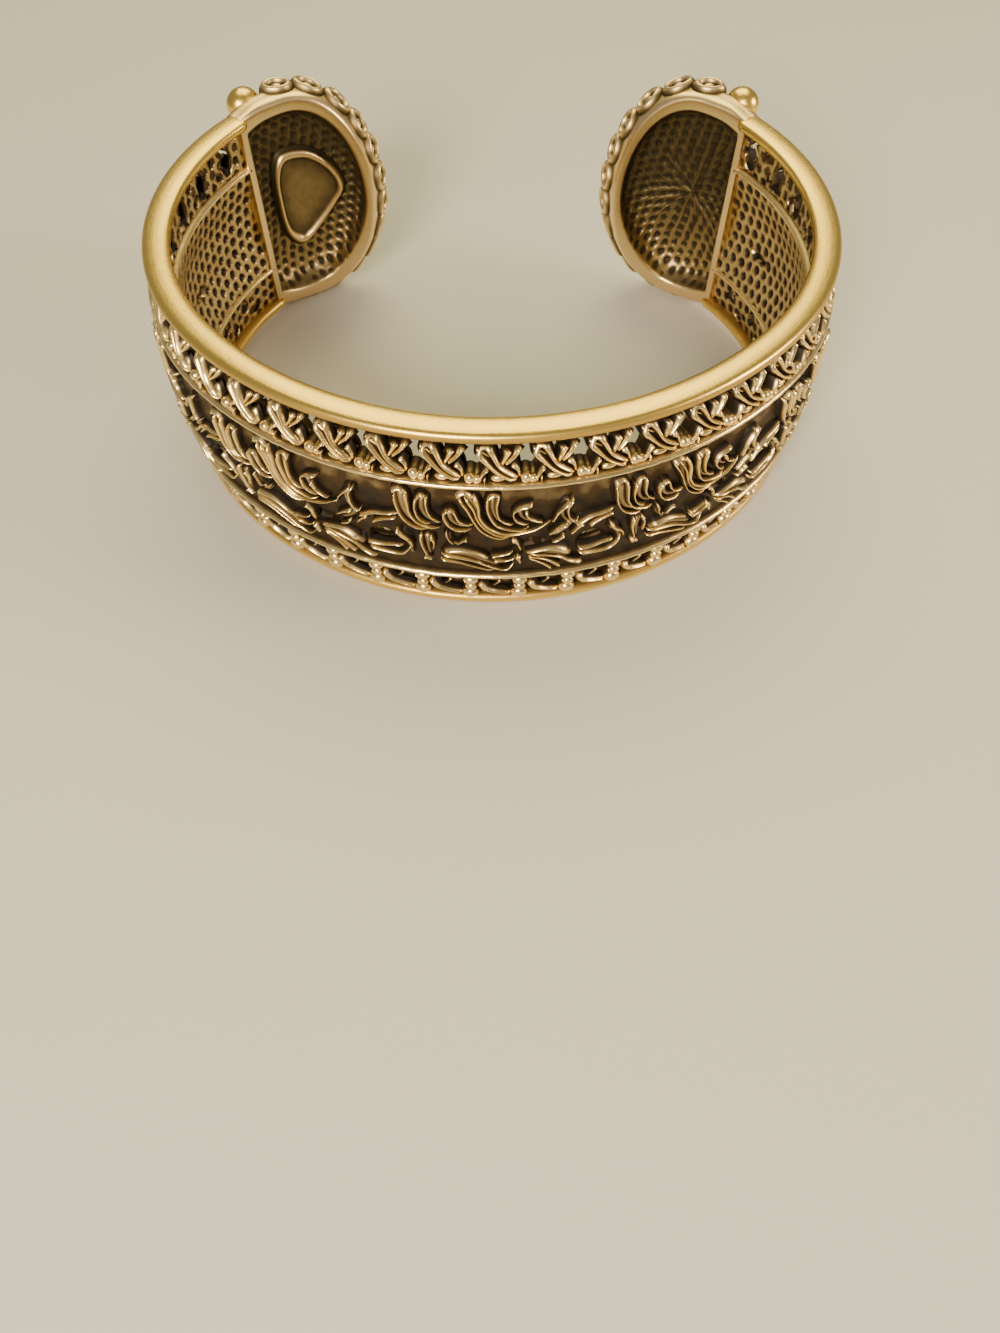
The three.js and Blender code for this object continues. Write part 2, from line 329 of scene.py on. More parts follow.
def rim(form, level):
    """One edge bar; its side towards the border is the darker one, and painted shade darkens its outer face
    below the crest, more on the upper rim than on the lower.
    """

    def place(t, a):
        along = (2 * t - 1) * (band_half + rim_overlap)
        tapered = mixed(rim_taper, 1, smooth(rim_overlap, 0, abs(along) - band_half))
        capped = 0 if at_tip(t) else tapered
        turn = 2 * math.pi * a
        cosine, sine = math.cos(turn), math.sin(turn)
        size = (abs(cosine) ** rim_squareness + abs(sine) ** rim_squareness) ** (-1 / rim_squareness)
        out = cosine * size * capped * rim_depth / 2
        up = sine * size * capped * rim_height / 2
        outer = up * math.copysign(1, level) / (rim_height / 2)
        line = math.exp(-(((out - rim_line["out"]) / rim_line["width"]) ** 2)) * (outer > 0)
        up -= math.copysign(rim_line["depth"], level) * line
        # Painted shade: the outer face below the crest is darkened, much more on the upper rim than on the
        # lower
        onto_face = smooth(*rim_fade["onto_face"], 2 * out / rim_depth)
        outside = onto_face * smooth(*rim_fade["below_crest"], outer)
        off_border = smooth(*rim_fade["off_border"], outer)
        wear = mixed(rim_wear_and_shade["border_side"], rim_wear_and_shade["worn_side"], off_border)
        painted_face_shade = rim_wear_and_shade["top_rim_painted_shade"] if level > 0 else rim_wear_and_shade["lower_rim_painted_shade"]
        return along, level + up, out, wear - rim_line["wear"] * line - painted_face_shade * outside

    grown(form, steps=320, around=32, place=place)


rims_form = new_form()
for level in (rim_level, -rim_level):
    rim(rims_form, level)
rims = finished("rims", rims_form, satin_gold)
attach(rims, "root")
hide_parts("cuff")


# Ribs. Two thin raised beads that part the borders from the centre band,
# cast with the rest; their crests are rubbed bright, their flanks stay dark.
rib_level = 6.25
rib_levels = (rib_level - 0.25, -rib_level - 0.1)
rib_middle = 0.5
rib_waver = {"size": 0.06, "per_mm": 1.3, "around": 2, "outside": 1}
rib_half_height = 0.55
sheet_overlap = 0.5
rib_section = (
    {"out": -0.7, "up": 0.2, "wear": 0.8},
    {"out": 0.3, "up": 0.55, "wear": 0.1},
    {"out": 0.9, "up": 0.42, "wear": 0.05},
    {"out": 1.5, "up": 0.27, "wear": 0.35},
    {"out": 1.85, "up": 0.17, "wear": 1.0},
    {"out": 2.0, "up": -0.02, "wear": 1.0},
    {"out": 1.85, "up": -0.22, "wear": 0.9},
    {"out": 1.5, "up": -0.33, "wear": 0.3},
    {"out": 0.6, "up": -0.5, "wear": 0.1},
    {"out": -0.7, "up": -0.2, "wear": 0.8},
)

# Cast metal antiqued with a dark wash: near black in the recesses, gold where rubbed
antiqued_gold = gold(
    "antiqued_gold_casting",
    ((0.0, "#0D0704"), (0.28, "#4C3A26"), (0.55, "#B49E76"), (0.85, "#FFE09A")),
    rough_worn=0.2,
    rough_recess=0.6,
    grain=0.2,
    scratches=0.2,
)


def through(rows, t, closed=False):
    """A smooth line through rows of numbers, at share t of the way."""
    last = len(rows) if closed else len(rows) - 1
    index = min(int(t * last), last - 1)
    f = t * last - index

    def row(i):
        return rows[i % len(rows)] if closed else rows[min(max(i, 0), len(rows) - 1)]

    nearest = [row(index + step) for step in (-1, 0, 1, 2)]
    return [
        0.5 * (2 * b + (c - a) * f + (2 * a - 5 * b + 4 * c - d) * f * f + (3 * b - a - 3 * c + d) * f**3)
        for a, b, c, d in zip(*nearest)
    ]


ribs_form = new_form()
rib_rows = [(row["out"], row["up"], row["wear"]) for row in rib_section]
for level in rib_levels:

    def rib_place(t, a, level=level):
        out, up, wear = through(rib_rows, a, closed=True)
        capped = 0 if at_tip(t) else 1
        along = (2 * t - 1) * (band_half + sheet_overlap)
        wave = Vector((along * rib_waver["per_mm"], level, a * rib_waver["around"]))
        waver = rib_waver["size"] * noise.noise(wave) * (out > rib_waver["outside"])
        up *= math.copysign(1, level)
        outward = rib_middle + (out - rib_middle) * capped + waver
        return along, level + up * capped, outward, wear

    grown(ribs_form, steps=300, around=18, place=rib_place)
ribs = finished("ribs", ribs_form, antiqued_gold)
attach(ribs, "root")
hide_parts("cuff")


# Upper border. Openwork between the rim and the upper rib: in each pitch a
# long leaf crossed by a short forked one, with a tongue, a pebble and a knob,
# on a web that is cast in one with the band and pierced between the leaves.
motif_pitch = 4.55
border_level = (rim_level - rim_height / 2 + rib_level + rib_half_height) / 2
border_reach = 2.25
web = {"rim_side": 0.25, "rib_side": 0.5, "back": -0.3, "leaf_inside": 0.15, "cell": 0.21}
web_wash = {"wear": 0.14, "uneven": 0.2, "per_mm": 1.5}
leaf_level = {"rim_side": 0.3, "rib_side": 1.15}
usual_leaf = {"rise": 0.8, "strands": 1, "crest": 0.0, "tail": 0.55, "wear": 1.0}
leaf_steps_per_mm = 3.2
upper_phase = 0.55

# A leaf's front takes the first part of the way round its section. Along it, from the
# head, shares of its length say how far its head and foot are rounded, where it is narrow,
# how far it stands high and where its strands set in. The ridge's flanks are a little
# rounded, and the grooves a little wider than round strands leave.
leaf_front = 0.78
leaf_head = 0.1
leaf_foot = 0.15
leaf_swell = 1.12
leaf_narrow_from = 0.7
leaf_high_until = 0.25
strands_set_in = (0.06, 0.22)
ridge_curve = 1.25
strand_curve = 1.4
leaf_rub = {"heights": (0.35, 0.9), "low_metal": 0.6, "groove_wear": 0.03, "back_wear": 0.3}

# A pebble is fuller at its sides and top than a ball
pebble_curve = {"sides": 0.7, "top": 0.5}
pebble_rub = (0.05, 0.6)

# Each leaf's path runs from its head to its tail, and x and y are measured from the
# middle of its pitch and of the border
upper_leaves = (
    {
        "form": "long leaf",
        "path": ((-1.35, 1.3), (-0.75, 0.35), (0.15, -0.8), (1.7, -1.8)),
        "width": 1.8,
        "strands": 2,
    },
    {"form": "left fork", "path": ((-1.75, 1.05), (-1.2, 0.75), (-0.5, 0.3)), "width": 0.6, "rise": 0.5},
    {"form": "short leaf", "path": ((0.85, 0.95), (0.65, 0.35), (0.25, -0.4)), "width": 1.15, "rise": 0.7},
    {"form": "short fork", "path": ((1.8, 1.3), (1.35, 0.5), (0.5, -0.3)), "width": 1.0, "rise": 0.8},
    {"form": "lobe", "path": ((1.1, -0.4), (1.6, -0.85), (1.75, -1.55)), "width": 0.95, "rise": 0.55},
    {"form": "tongue", "path": ((-0.75, -0.65), (-1.15, -1.05), (-1.5, -1.8)), "width": 0.8, "rise": 0.8},
    {"form": "post", "path": ((-1.05, -1.55), (-1.05, -2.2)), "width": 0.4, "rise": 0.75},
)
upper_pebbles = (
    {"form": "lens", "x": 0.05, "y": -1.8, "half_x": 0.85, "half_y": 0.42, "top": 1.6},
    {"form": "knob", "x": 2.3, "y": -1.75, "half_x": 0.6, "half_y": 0.62, "top": 1.8},
    {"form": "second knob", "x": 2.9, "y": -1.85, "half_x": 0.55, "half_y": 0.5, "top": 1.75},
)
upper_gaps = (
    {"form": "lens", "x": 2.35, "y": -0.25, "half_x": 0.95, "half_y": 1.65},
    {"form": "fork", "x": 0.1, "y": 0.95, "half_x": 0.55, "half_y": 0.85},
    {"form": "foot", "x": -0.55, "y": -1.1, "half_x": 0.4, "half_y": 0.5},
)


def leaf(form, path, width, base, back, rise=1.0, strands=1, crest=0.0, tail=0.42, root=0.65, wear=1.0):
    """A cast leaf along a flat path: rounded head, narrowing tail and raised strands
    with dark grooves between them. base gives the metal's level at a height, and
    root how high the tail stands beside the head."""
    length = sum(math.dist(a, b) for a, b in zip(path, path[1:]))
    steps = max(8, round(length * leaf_steps_per_mm))
    ahead = 1e-3

    def place(t, a):
        here = through(path, t)
        there = through(path, min(1, t + ahead)) if t < 0.5 else through(path, max(0, t - ahead))
        flip = 1 if t < 0.5 else -1
        dx, dy = (there[0] - here[0]) * flip, (there[1] - here[1]) * flip
        size = math.hypot(dx, dy) or 1
        head = math.sqrt(min(1, t / leaf_head))
        foot = math.sqrt(min(1, (1 - t) / leaf_foot))
        swell = head * foot * mixed(leaf_swell, tail, smooth(leaf_head, leaf_narrow_from, t))
        from_middle = 2 * a / leaf_front - 1
        if a > leaf_front:
            from_middle = 1 - 2 * (a - leaf_front) / (1 - leaf_front)
        across = from_middle * width / 2 * swell
        x = here[0] + dy / size * across
        y = here[1] - dx / size * across
        level = base(y)
        if a > leaf_front:
            return x, y, mixed(level, back, head * foot), leaf_rub["back_wear"]
        groove = smooth(*strands_set_in, t) if strands > 1 else 0
        shifted = (from_middle - crest) / (1 - crest if from_middle > crest else 1 + crest)
        ridge = max(0, 1 - abs(shifted) ** ridge_curve)
        comb = abs(math.sin(math.pi * strands * (from_middle + 1) / 2)) ** strand_curve
        height = mixed(ridge, comb, groove)
        lift = mixed(root, 1, math.exp(-((t / leaf_high_until) ** 2))) * head * foot
        lightened = smooth(*leaf_rub["heights"], height) * mixed(leaf_rub["low_metal"], 1, lift)
        return x, y, level + rise * height * lift, wear * mixed(leaf_rub["groove_wear"], 1.0, lightened)

    grown(form, steps, around=9 + 5 * strands, place=place)


def pebble(form, x, y, half_x, half_y, top, back, wear=0.9):
    """A rounded cushion of metal, flat behind."""

    def place(t, a):
        tilt, turn = math.pi * t, 2 * math.pi * a
        ring = math.sin(tilt) ** pebble_curve["sides"]
        high = math.cos(tilt)
        out = top * high ** pebble_curve["top"] if high > 0 else -back * high
        across, upward = half_x * ring * math.cos(turn), half_y * ring * math.sin(turn)
        return x + across, y + upward, out, wear * smooth(*pebble_rub, high)

    grown(form, steps=10, around=14, place=place)


def in_band(points, margin=0.3):
    """Whether a form's points lie on the band, clear of the ends' hollows."""
    return all(abs(x) < band_half + margin for x, _ in points)


# The pits lie in slanting rows, each a little out of its place
pits = {"across": (1.35, -0.3), "down": (0.24, -1.3), "half_x": 0.46, "half_y": 0.5, "depth": 0.36}
pit_waver = {"size": 0.16, "per_mm": 0.8}
pit_floor_from = 0.85
pit_wash = {"starts": 0.02, "ends": 0.5, "ridge_wear": 0.64, "pit_wear": 0.0}


def pit(along, up):
    """How deep a point is in the nearest cast pit, from 0 on the ridges to 1 in its middle."""
    (ax, ay), (bx, by) = pits["across"], pits["down"]
    x = along + pit_waver["size"] * noise.noise(Vector((along, up, 1)) * pit_waver["per_mm"])
    y = up + pit_waver["size"] * noise.noise(Vector((along, up, 7)) * pit_waver["per_mm"])
    area = ax * by - ay * bx
    i, j = math.floor((x * by - y * bx) / area), math.floor((ax * y - ay * x) / area)
    deepest = 0
    for near_i in (i, i + 1):
        for near_j in (j, j + 1):
            dx = (x - near_i * ax - near_j * bx) / pits["half_x"]
            dy = (y - near_i * ay - near_j * by) / pits["half_y"]
            deepest = max(deepest, 1 - dx * dx - dy * dy)
    return deepest


def pitted(along, up, level):
    """A point of the band's pitted back at a level: its place outward and its wear."""
    depth = pit(along, up)
    out = level + pits["depth"] * smooth(0, pit_floor_from, depth)
    washed = smooth(pit_wash["starts"], pit_wash["ends"], depth)
    return out, mixed(pit_wash["ridge_wear"], pit_wash["pit_wear"], washed)


def sheet(form, low, high, cell, gap_at, front, back):
    """A pierced sheet from height low to high along the band. gap_at finds the gap at a point,
    front and back give each side's place outward and wear."""
    wear_and_shade = form.verts.layers.float["wear_and_shade"]
    flat = form.loops.layers.uv["flat"]
    half = band_half + sheet_overlap
    across = bmesh.ops.create_grid(
        form,
        x_segments=round(2 * half / cell),
        y_segments=round((high - low) / cell),
        size=0.5,
    )["verts"]
    for vert in across:
        vert.co = Vector((2 * vert.co.x * half, mixed(low, high, vert.co.y + 0.5), 0))
    pierced = []
    for face in form.faces:
        middle = face.calc_center_median()
        found = gap_at(middle.x, middle.y)
        if found and found[2] < 1:
            pierced.append(face)
    bmesh.ops.delete(form, geom=pierced, context="FACES")
    for vert in form.verts:
        found = gap_at(vert.co.x, vert.co.y) if vert.is_boundary else None
        if found:
            x, y, share = found
            vert.co = Vector((x + (vert.co.x - x) / share, y + (vert.co.y - y) / share, 0))
    raised = bmesh.ops.extrude_face_region(form, geom=list(form.faces))["geom"]
    front_side = {item for item in raised if isinstance(item, bmesh.types.BMVert)}
    for vert in form.verts:
        along, up = vert.co.x, vert.co.y
        for loop in vert.link_loops:
            loop[flat].uv = (along, up)
        out, vert[wear_and_shade] = (front if vert in front_side else back)(along, up)
        vert.co = laid(along, up, out)


# A gap's edge is drawn from the points up to half as far again from its middle, and that
# middle keeps clear of the ends
gap_near = 1.5
gap_clear_of_end = 1.5


def gaps_in(rows, first, pitch, level=0.0):
    """The finder of gaps repeated along the band. It gives a gap's middle and the point's
    share of the way to its edge."""

    def gap_at(x, y):
        """The gap near a point, or None."""
        index = math.floor((x - first) / pitch)
        for near in (index - 1, index, index + 1):
            for row in rows:
                middle = (first + near * pitch + row["x"], level + row["y"])
                share = math.hypot((x - middle[0]) / row["half_x"], (y - middle[1]) / row["half_y"])
                if share < gap_near and in_band([middle], -gap_clear_of_end):
                    return *middle, share
        return None

    return gap_at


def border(form, leaves, pebbles, gaps, level, phase):
    """One border: its pierced web and, in each pitch, its leaves and pebbles. Both slope
    out from the rim to the rib."""
    side = math.copysign(1, level)

    def slope(up, ends=leaf_level):
        """How far out the leaves, or the web, lie at a height."""
        toward_rib = smooth(border_reach, -border_reach, (up - level) * side)
        return mixed(ends["rim_side"], ends["rib_side"], toward_rib)

    def web_front(along, up):
        """The web's front: its place outward and its wear, which is little and uneven."""
        uneven = noise.noise(Vector((along, up, 2)) * web_wash["per_mm"])
        return slope(up, web), web_wash["wear"] + web_wash["uneven"] * uneven

    sheet(
        form,
        min(level - border_reach * side, level + border_reach * side),
        max(level - border_reach * side, level + border_reach * side),
        web["cell"],
        gaps_in(gaps, phase, motif_pitch, level),
        front=web_front,
        back=lambda along, up: pitted(along, up, web["back"]),
    )
    reach = math.ceil(band_half / motif_pitch)
    leaf_back = web["back"] + web["leaf_inside"]
    for index in range(-reach, reach + 1):
        centre = phase + index * motif_pitch
        for row in leaves:
            path = [(centre + x, level + y) for x, y in row["path"]]
            cast = usual_leaf | row
            if in_band(path):
                leaf(
                    form,
                    path,
                    cast["width"],
                    base=slope,
                    back=leaf_back,
                    rise=cast["rise"],
                    strands=cast["strands"],
                    crest=cast["crest"],
                    tail=cast["tail"],
                    root=1.0,
                    wear=cast["wear"],
                )
        for row in pebbles:
            x, y = centre + row["x"], level + row["y"]
            if in_band([(x, y)]):
                pebble(form, x, y, row["half_x"], row["half_y"], row["top"], leaf_back)


upper_form = new_form()
border(upper_form, upper_leaves, upper_pebbles, upper_gaps, border_level, upper_phase)
upper_border = finished("upper_border", upper_form, antiqued_gold)
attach(upper_border, "root")
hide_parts("cuff")


# Lower border. The same openwork below: curled leaves between pillars of
# three knobs, cast in one with the band and pierced between them.
lower_phase = 0.3
lower_leaves = (
    {
        "form": "crescent",
        "path": ((-1.3, 0.75), (-0.9, -0.35), (0.2, -0.95), (1.7, -1.3)),
        "width": 1.25,
        "crest": 0.1,
        "rise": 0.95,
    },
    {
        "form": "upper lobe",
        "path": ((0.45, 0.9), (0.2, 0.35), (-0.3, -0.3)),
        "width": 0.6,
        "rise": 0.4,
        "wear": 0.7,
    },
)
lower_pebbles = (
    {"form": "upper knob", "x": 2.27, "y": 0.85, "half_x": 0.82, "half_y": 0.6, "top": 1.6},
    {"form": "middle knob", "x": 2.3, "y": -0.1, "half_x": 0.66, "half_y": 0.55, "top": 1.55},
    {"form": "lower knob", "x": 2.25, "y": -1.15, "half_x": 0.86, "half_y": 0.7, "top": 1.6},
)
lower_gaps = (
    {"form": "above", "x": 0.85, "y": 0.45, "half_x": 0.8, "half_y": 0.75},
    {"form": "below", "x": -1.1, "y": -0.9, "half_x": 0.7, "half_y": 0.55},
)

lower_form = new_form()
border(lower_form, lower_leaves, lower_pebbles, lower_gaps, -border_level, lower_phase)
lower_border = finished("lower_border", lower_form, antiqued_gold)
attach(lower_border, "root")
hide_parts("cuff")


# Centre plate. The band's cambered sheet between the ribs, cast with it and
# pierced in two places of each repeat. Its back is pitted like a honeycomb,
# with rows of small round hollows that keep the casting light.
repeat_length = 18.2
repeats_before_front = 3
front_repeat_start = -8.2
scroll_start = front_repeat_start - repeats_before_front * repeat_length
plate_edge = {"front": 1.35, "back": -0.6}
plate_crown = {"front": 1.65, "back": 0.2}
crown_half = 1.4
plate_cell = 0.21
plate_uneven = {"per_mm": 0.9, "height": 0.06, "wash": 0.14}
# The plate's ground is coloured lighter towards the upper rib
plate_tone_by_height = {"lower": 0.11, "upper": 0.32, "starts": 3.0, "ends": 4.4}
plate_gaps = (
    {"x": 16.9, "y": -1.95, "half_x": 1.25, "half_y": 1.1},
    {"x": 11.4, "y": -1.35, "half_x": 1.5, "half_y": 0.5},
)


def camber(side, up):
    """How far out the plate's front or back lies at a height."""
    return mixed(plate_crown[side], plate_edge[side], smooth(crown_half, rib_level, abs(up)))


def plate_front(along, up):
    """The plate's front: its place outward, a little uneven, and how light its ground is coloured, lighter
    towards the upper rib."""
    uneven = noise.noise(Vector((along, up, 3)) * plate_uneven["per_mm"])
    lightened = smooth(plate_tone_by_height["starts"], plate_tone_by_height["ends"], up)
    wear = mixed(plate_tone_by_height["lower"], plate_tone_by_height["upper"], lightened) + plate_uneven["wash"] * uneven
    return camber("front", up) + plate_uneven["height"] * uneven, wear


plate_form = new_form()
sheet(
    plate_form,
    -rib_level,
    rib_level,
    plate_cell,
    gaps_in(plate_gaps, scroll_start, repeat_length),
    front=plate_front,
    back=lambda along, up: pitted(along, up, camber("back", up)),
)
plate = finished("centre_plate", plate_form, antiqued_gold)
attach(plate, "root")
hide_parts("cuff")


# Scroll. Acanthus leaves on a waving stem, raised on the front of the centre
# plate and cast with it: low dark bodies under narrow strands that are rubbed
# bright. The repeats are alike.
scroll_back = 0.9
scroll_root = 0.8
leaf_body = {"rise": 0.62, "wear": 0.5, "broad": 1.1}
leaf_strand = {"rise": 1.08, "wear": 1.0, "broad": 1.18}

# One repeat, in millimetres: x along the band from its start, y from mid-height
leaf_bodies = (
    {
        "form": "curled leaf",
        "path": ((0.75, 4.9), (0.85, 3.2), (1.4, 1.8), (2.6, 1.1), (4.0, 0.8)),
        "width": 1.6,
    },
    {"form": "arched leaf", "path": ((2.6, 4.6), (2.45, 3.2), (2.9, 2.1), (4.0, 1.6)), "width": 1.2},
    {"form": "small hook", "path": ((4.7, 3.2), (4.9, 2.0), (5.7, 1.4), (6.8, 1.5)), "width": 1.0},
    {
        "form": "long leaf",
        "path": ((6.1, 5.3), (6.8, 3.7), (7.3, 1.9), (8.4, 0.7), (9.8, 0.1)),
        "width": 1.6,
    },
    {"form": "inner hook", "path": ((8.4, 5.0), (8.3, 3.6), (8.8, 2.2), (10.0, 1.5)), "width": 1.3},
    {"form": "second hook", "path": ((10.5, 3.5), (10.7, 2.5), (11.5, 1.9)), "width": 1.0},
    {"form": "bud", "path": ((14.8, 4.1), (14.1, 3.0), (14.3, 1.8), (15.3, 1.0)), "width": 1.1},
    {"form": "petal", "path": ((14.9, 1.5), (14.4, 0.4), (13.3, -0.4)), "width": 1.2},
    {"form": "stem", "path": ((15.0, 0.8), (16.4, 1.3), (17.5, 1.6), (18.9, 2.0)), "width": 1.1},
    {"form": "upright leaf", "path": ((2.8, -0.2), (2.75, -1.6), (2.9, -3.3)), "width": 1.2},
    {"form": "pointed leaf", "path": ((0.2, -0.2), (0.9, -1.3), (1.2, -2.4), (1.3, -3.6)), "width": 1.1},
    {"form": "drop", "path": ((4.5, 0.6), (4.7, -0.6), (5.4, -1.2), (6.2, -0.4)), "width": 0.8},
    {"form": "wave", "path": ((3.9, -2.5), (5.8, -2.7), (7.4, -3.5), (9.0, -4.6)), "width": 1.6},
    {"form": "fan", "path": ((15.2, -3.3), (13.4, -2.9), (11.2, -2.7)), "width": 2.0},
)
leaf_strands = (
    {"form": "curled head", "path": ((0.15, 4.9), (0.75, 5.2), (1.35, 4.8)), "width": 0.9},
    {
        "form": "curled leaf, right",
        "path": ((1.2, 5.1), (1.35, 3.8), (1.5, 2.5), (2.1, 1.5), (3.0, 1.1), (4.1, 0.9)),
        "width": 0.55,
    },
    {
        "form": "curled leaf, left",
        "path": ((0.3, 4.8), (0.45, 3.2), (0.9, 1.8), (1.8, 0.9), (3.1, 0.6)),
        "width": 0.42,
    },
    {"form": "arched head", "path": ((2.1, 4.3), (2.5, 4.9), (3.0, 4.6)), "width": 0.6},
    {"form": "arched leaf, left", "path": ((2.1, 4.5), (1.95, 3.2), (2.3, 2.0), (3.3, 1.4)), "width": 0.46},
    {
        "form": "arched leaf, right",
        "path": ((2.95, 4.8), (2.95, 3.4), (3.3, 2.4), (4.2, 1.7)),
        "width": 0.5,
    },
    {
        "form": "small hook, right",
        "path": ((4.5, 3.4), (5.1, 3.4), (5.5, 2.3), (6.1, 1.8), (6.9, 1.8)),
        "width": 0.48,
    },
    {
        "form": "small hook, left",
        "path": ((4.8, 3.5), (4.3, 2.9), (4.6, 1.7), (5.4, 1.0), (6.8, 1.1)),
        "width": 0.55,
    },
    {"form": "long leaf head", "path": ((5.4, 5.1), (6.1, 5.5), (6.8, 4.9)), "width": 1.0},
    {
        "form": "long leaf, right",
        "path": ((6.7, 5.3), (7.15, 4.1), (7.3, 2.6), (8.1, 1.3), (9.6, 0.5), (11.6, 0.9), (13.3, 1.7)),
        "width": 0.6,
    },
    {
        "form": "long leaf, middle",
        "path": ((6.0, 5.2), (6.7, 3.9), (7.1, 2.4), (7.8, 1.2), (9.0, 0.3), (10.6, 0.3)),
        "width": 0.38,
    },
    {
        "form": "long leaf, left",
        "path": ((5.5, 5.1), (6.2, 3.8), (6.8, 2.2), (7.4, 1.0), (8.5, 0.1), (9.8, -0.2)),
        "width": 0.36,
    },
    {"form": "inner hook head", "path": ((7.9, 4.9), (8.4, 5.3), (9.0, 5.1)), "width": 0.6},
    {
        "form": "inner hook, left",
        "path": ((7.95, 5.1), (7.9, 3.7), (8.4, 2.1), (9.1, 1.4), (10.4, 1.0), (11.4, 1.2)),
        "width": 0.5,
    },
    {
        "form": "inner hook, right",
        "path": ((8.9, 5.3), (8.65, 4.1), (8.8, 2.8), (9.3, 2.1), (10.2, 1.7)),
        "width": 0.5,
    },
    {
        "form": "second hook, left",
        "path": ((11.7, 4.1), (10.6, 3.8), (10.0, 3.2), (10.3, 2.2), (11.5, 1.5)),
        "width": 0.55,
    },
    {"form": "second hook, right", "path": ((11.0, 3.3), (11.4, 2.4), (12.6, 1.8)), "width": 0.45},
    {
        "form": "bud, right",
        "path": ((15.0, 4.3), (14.5, 3.4), (14.6, 2.2), (15.1, 1.5), (15.5, 1.9)),
        "width": 0.5,
    },
    {"form": "bud, left", "path": ((14.7, 4.1), (13.8, 3.0), (13.4, 2.2), (13.2, 1.6)), "width": 0.45},
    {"form": "petal, left", "path": ((14.6, 1.3), (13.7, 0.7), (12.9, 0.0)), "width": 0.55},
    {"form": "petal, right", "path": ((15.9, 1.1), (15.4, 0.5), (14.8, -0.3)), "width": 0.6},
    {"form": "petal, lower", "path": ((14.3, -0.1), (13.9, -0.7), (13.2, -1.0)), "width": 0.5},
    {
        "form": "stem, upper",
        "path": ((15.1, 0.9), (16.4, 1.7), (17.4, 1.9), (18.6, 2.2)),
        "width": 0.5,
        "tail": 0.8,
    },
    {"form": "stem, lower", "path": ((16.3, 0.6), (17.4, 1.2), (18.6, 1.6)), "width": 0.42, "tail": 0.8},
    {
        "form": "scroll curl, upper",
        "path": ((15.5, -2.4), (16.8, -2.5), (18.0, -2.2), (18.9, -2.2)),
        "width": 0.5,
        "tail": 0.8,
    },
    {
        "form": "scroll curl, lower",
        "path": ((15.6, -3.1), (17.1, -3.5), (18.6, -3.4), (19.6, -2.0)),
        "width": 0.5,
        "tail": 0.8,
    },
    {"form": "pointed leaf", "path": ((0.1, 0.2), (0.7, -0.8), (1.35, -1.4), (1.5, -2.3)), "width": 0.6},
    {
        "form": "upright leaf, left",
        "path": ((2.3, 0.0), (2.25, -1.1), (2.5, -2.4), (2.8, -3.2)),
        "width": 0.55,
    },
    {"form": "upright leaf, right", "path": ((3.1, -0.2), (3.35, -1.1), (3.2, -2.2)), "width": 0.55},
    {"form": "foot bead", "path": ((2.4, -3.3), (3.1, -3.6)), "width": 0.8},
    {"form": "drop, left", "path": ((4.45, 0.7), (4.65, -0.4), (5.1, -1.0)), "width": 0.42, "wear": 0.75},
    {"form": "drop, right", "path": ((6.2, -0.1), (5.7, -0.5), (5.3, -1.0)), "width": 0.42, "wear": 0.75},
    {"form": "wave, top", "path": ((4.1, -2.0), (5.8, -1.9), (7.05, -2.3), (8.1, -3.1)), "width": 0.75},
    {
        "form": "wave, middle",
        "path": ((3.7, -2.5), (5.2, -2.8), (6.8, -3.4), (8.1, -4.3), (9.4, -4.8), (10.2, -4.0)),
        "width": 0.45,
    },
    {"form": "wave, bottom", "path": ((3.7, -3.2), (5.2, -3.6), (6.8, -4.3), (8.6, -5.1)), "width": 0.36},
    {"form": "wave leaf, top", "path": ((8.1, -2.5), (9.1, -2.4), (10.1, -1.9)), "width": 0.42},
    {"form": "wave leaf, bottom", "path": ((8.3, -3.1), (9.4, -3.3), (10.3, -2.8)), "width": 0.42},
    {"form": "stem bud", "path": ((9.9, -0.2), (10.4, -0.8), (10.7, -2.0)), "width": 0.65},
    {"form": "bead", "path": ((10.4, -2.8), (10.7, -3.9)), "width": 0.85},
    {"form": "fan, top", "path": ((14.9, -2.8), (13.6, -2.0), (12.3, -2.0), (11.0, -2.4)), "width": 0.95},
    {
        "form": "fan, middle",
        "path": ((16.3, -4.7), (15.1, -4.3), (14.1, -3.4), (12.8, -2.8), (11.2, -2.6)),
        "width": 0.5,
    },
    {"form": "fan, low", "path": ((14.3, -4.9), (12.7, -3.4), (11.2, -2.8)), "width": 0.42},
    {"form": "fan, lowest", "path": ((13.5, -5.0), (12.3, -3.8), (11.3, -3.0)), "width": 0.4},
)

scroll_form = new_form()
for repeat in range(math.ceil(2 * band_half / repeat_length)):
    start = scroll_start + repeat * repeat_length
    for rows, kind in ((leaf_bodies, leaf_body), (leaf_strands, leaf_strand)):
        for row in rows:
            path = [(start + x, y) for x, y in row["path"]]
            cast = usual_leaf | kind | row
            if in_band(path):
                leaf(
                    scroll_form,
                    path,
                    cast["width"] * cast["broad"],
                    base=lambda up: camber("front", up),
                    back=scroll_back,
                    rise=cast["rise"],
                    tail=cast["tail"],
                    root=scroll_root,
                    wear=cast["wear"],
                )
scroll = finished("scroll", scroll_form, antiqued_gold)
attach(scroll, "root")
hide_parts("cuff")


